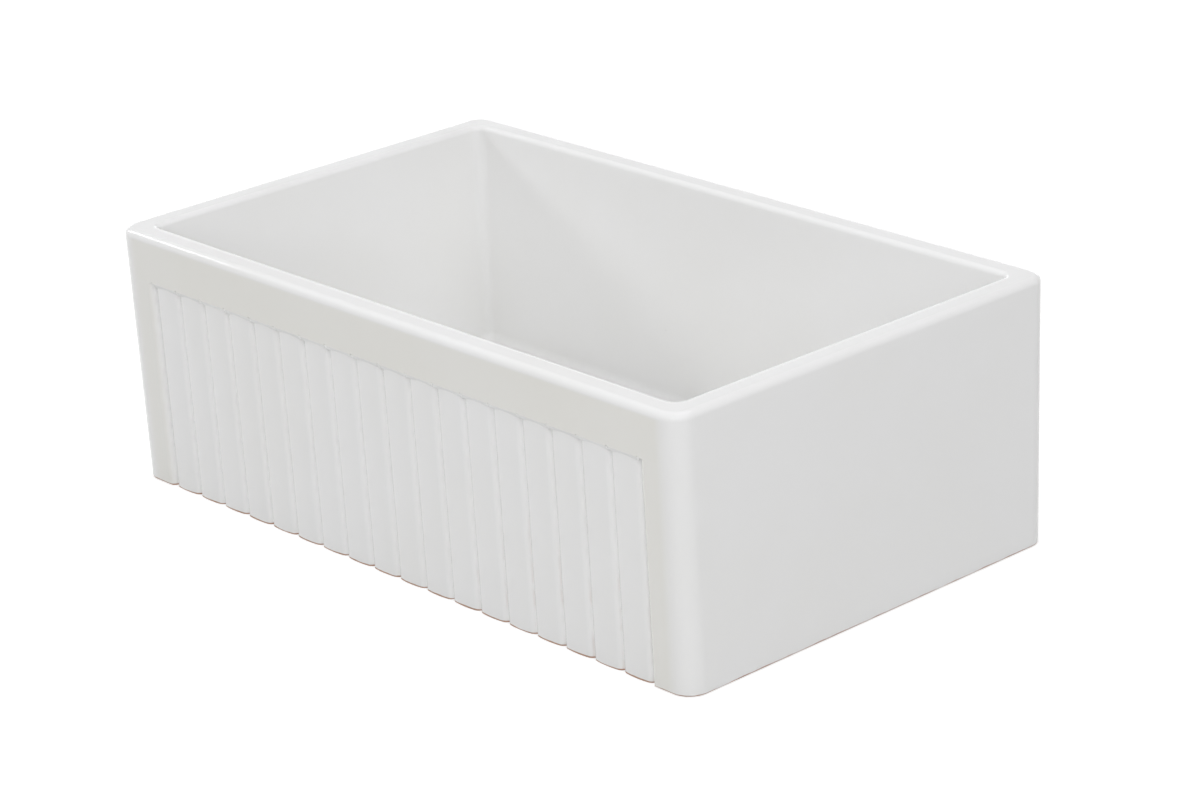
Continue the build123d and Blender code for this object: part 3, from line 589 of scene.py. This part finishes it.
def makeThreadTree(plan):
    tree = bpy.data.node_groups.new("thread", "GeometryNodeTree")
    tree.interface.new_socket("Geometry", in_out="OUTPUT", socket_type="NodeSocketGeometry")
    for label in threadInputs:
        tree.interface.new_socket(label, in_out="INPUT", socket_type="NodeSocketFloat")
    tree.interface.new_socket("Finish", in_out="INPUT", socket_type="NodeSocketMaterial")
    given = addNode(tree, "NodeGroupInput").outputs

    turns = addNode(tree, "ShaderNodeMath", {
        0: given["Run"], 1: given["Pitch"]}, operation="DIVIDE")
    depth = addNode(tree, "ShaderNodeMath", {
        0: given["Ridge height"], 1: plan["bite"]}, operation="ADD")
    root = addNode(tree, "ShaderNodeMath", {
        0: given["Core radius"], 1: plan["bite"]}, operation="SUBTRACT")
    middle = addNode(tree, "ShaderNodeMath", {0: depth, 1: 0.5, 2: root}, operation="MULTIPLY_ADD")
    helix = addNode(tree, "GeometryNodeCurveSpiral", {
        "Resolution": plan["stepsPerTurn"], "Rotations": turns, "Start Radius": middle,
        "End Radius": middle, "Height": given["Run"]})
    # the ridge fades in and out at the two ends
    share = addNode(tree, "GeometryNodeSplineParameter").outputs["Factor"]
    nearEnd = addNode(tree, "ShaderNodeMath", {0: share, 1: 0.5}, operation="PINGPONG")
    fromEnd = addNode(tree, "ShaderNodeMath", {0: nearEnd, 1: turns}, operation="MULTIPLY")
    fade = addNode(tree, "ShaderNodeMapRange", {
        "Value": fromEnd, "From Max": 1 / plan["runOut"], "To Min": plan["endShare"],
        "To Max": 1.0})
    faded = addNode(tree, "GeometryNodeSetCurveRadius", {"Curve": helix, "Radius": fade})
    upright = addNode(tree, "GeometryNodeSetCurveNormal", {"Curve": faded}, mode="Z_UP")
    section = addNode(tree, "GeometryNodeCurvePrimitiveQuadrilateral", {
        "Bottom Width": given["Root width"], "Top Width": given["Crest width"],
        "Height": depth, "Offset": 0.0}, mode="TRAPEZOID")
    outward = addNode(tree, "GeometryNodeTransform", {
        "Geometry": section, "Rotation": (0, 0, -math.pi / 2)})
    ridge = addNode(tree, "GeometryNodeCurveToMesh", {
        "Curve": upright, "Profile Curve": outward, "Fill Caps": True})
    lift = addNode(tree, "ShaderNodeCombineXYZ", {2: given["Lowest point"]})
    placed = addNode(tree, "GeometryNodeTransform", {"Geometry": ridge, "Translation": lift})
    real = addNode(tree, "GeometryNodeRealizeInstances", {0: placed})
    dressed = addNode(tree, "GeometryNodeSetMaterial", {
        "Geometry": real, "Material": given["Finish"]})
    addNode(tree, "NodeGroupOutput", {0: dressed})
    return tree


def makeByNodes(name, tree, values):
    # runs the tree on an empty object and keeps what it makes as a plain mesh
    obj = bpy.data.objects.new(name, bpy.data.meshes.new(name))
    bpy.context.collection.objects.link(obj)
    modifier = obj.modifiers.new(name, "NODES")
    modifier.node_group = tree
    for item in tree.interface.items_tree:
        if item.in_out == "INPUT":
            modifier[item.identifier] = values[item.name]
    depsgraph = bpy.context.evaluated_depsgraph_get()
    made = bpy.data.meshes.new_from_object(obj.evaluated_get(depsgraph), depsgraph=depsgraph)
    obj.modifiers.clear()
    obj.data = made
    return obj


threadTree = makeThreadTree(threadShape)
for name, sizes in threads.items():
    values = dict(zip(threadInputs, sizes), Finish=finishes["stainless_steel"])
    piece = makeByNodes(name, threadTree, values)
    piece.data.shade_smooth()
    piece.data.set_sharp_from_angle(angle=math.radians(threadShape["sharpAngle"]))
    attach(piece, "sink")
    print("thread made:", name, len(piece.data.polygons), "faces")
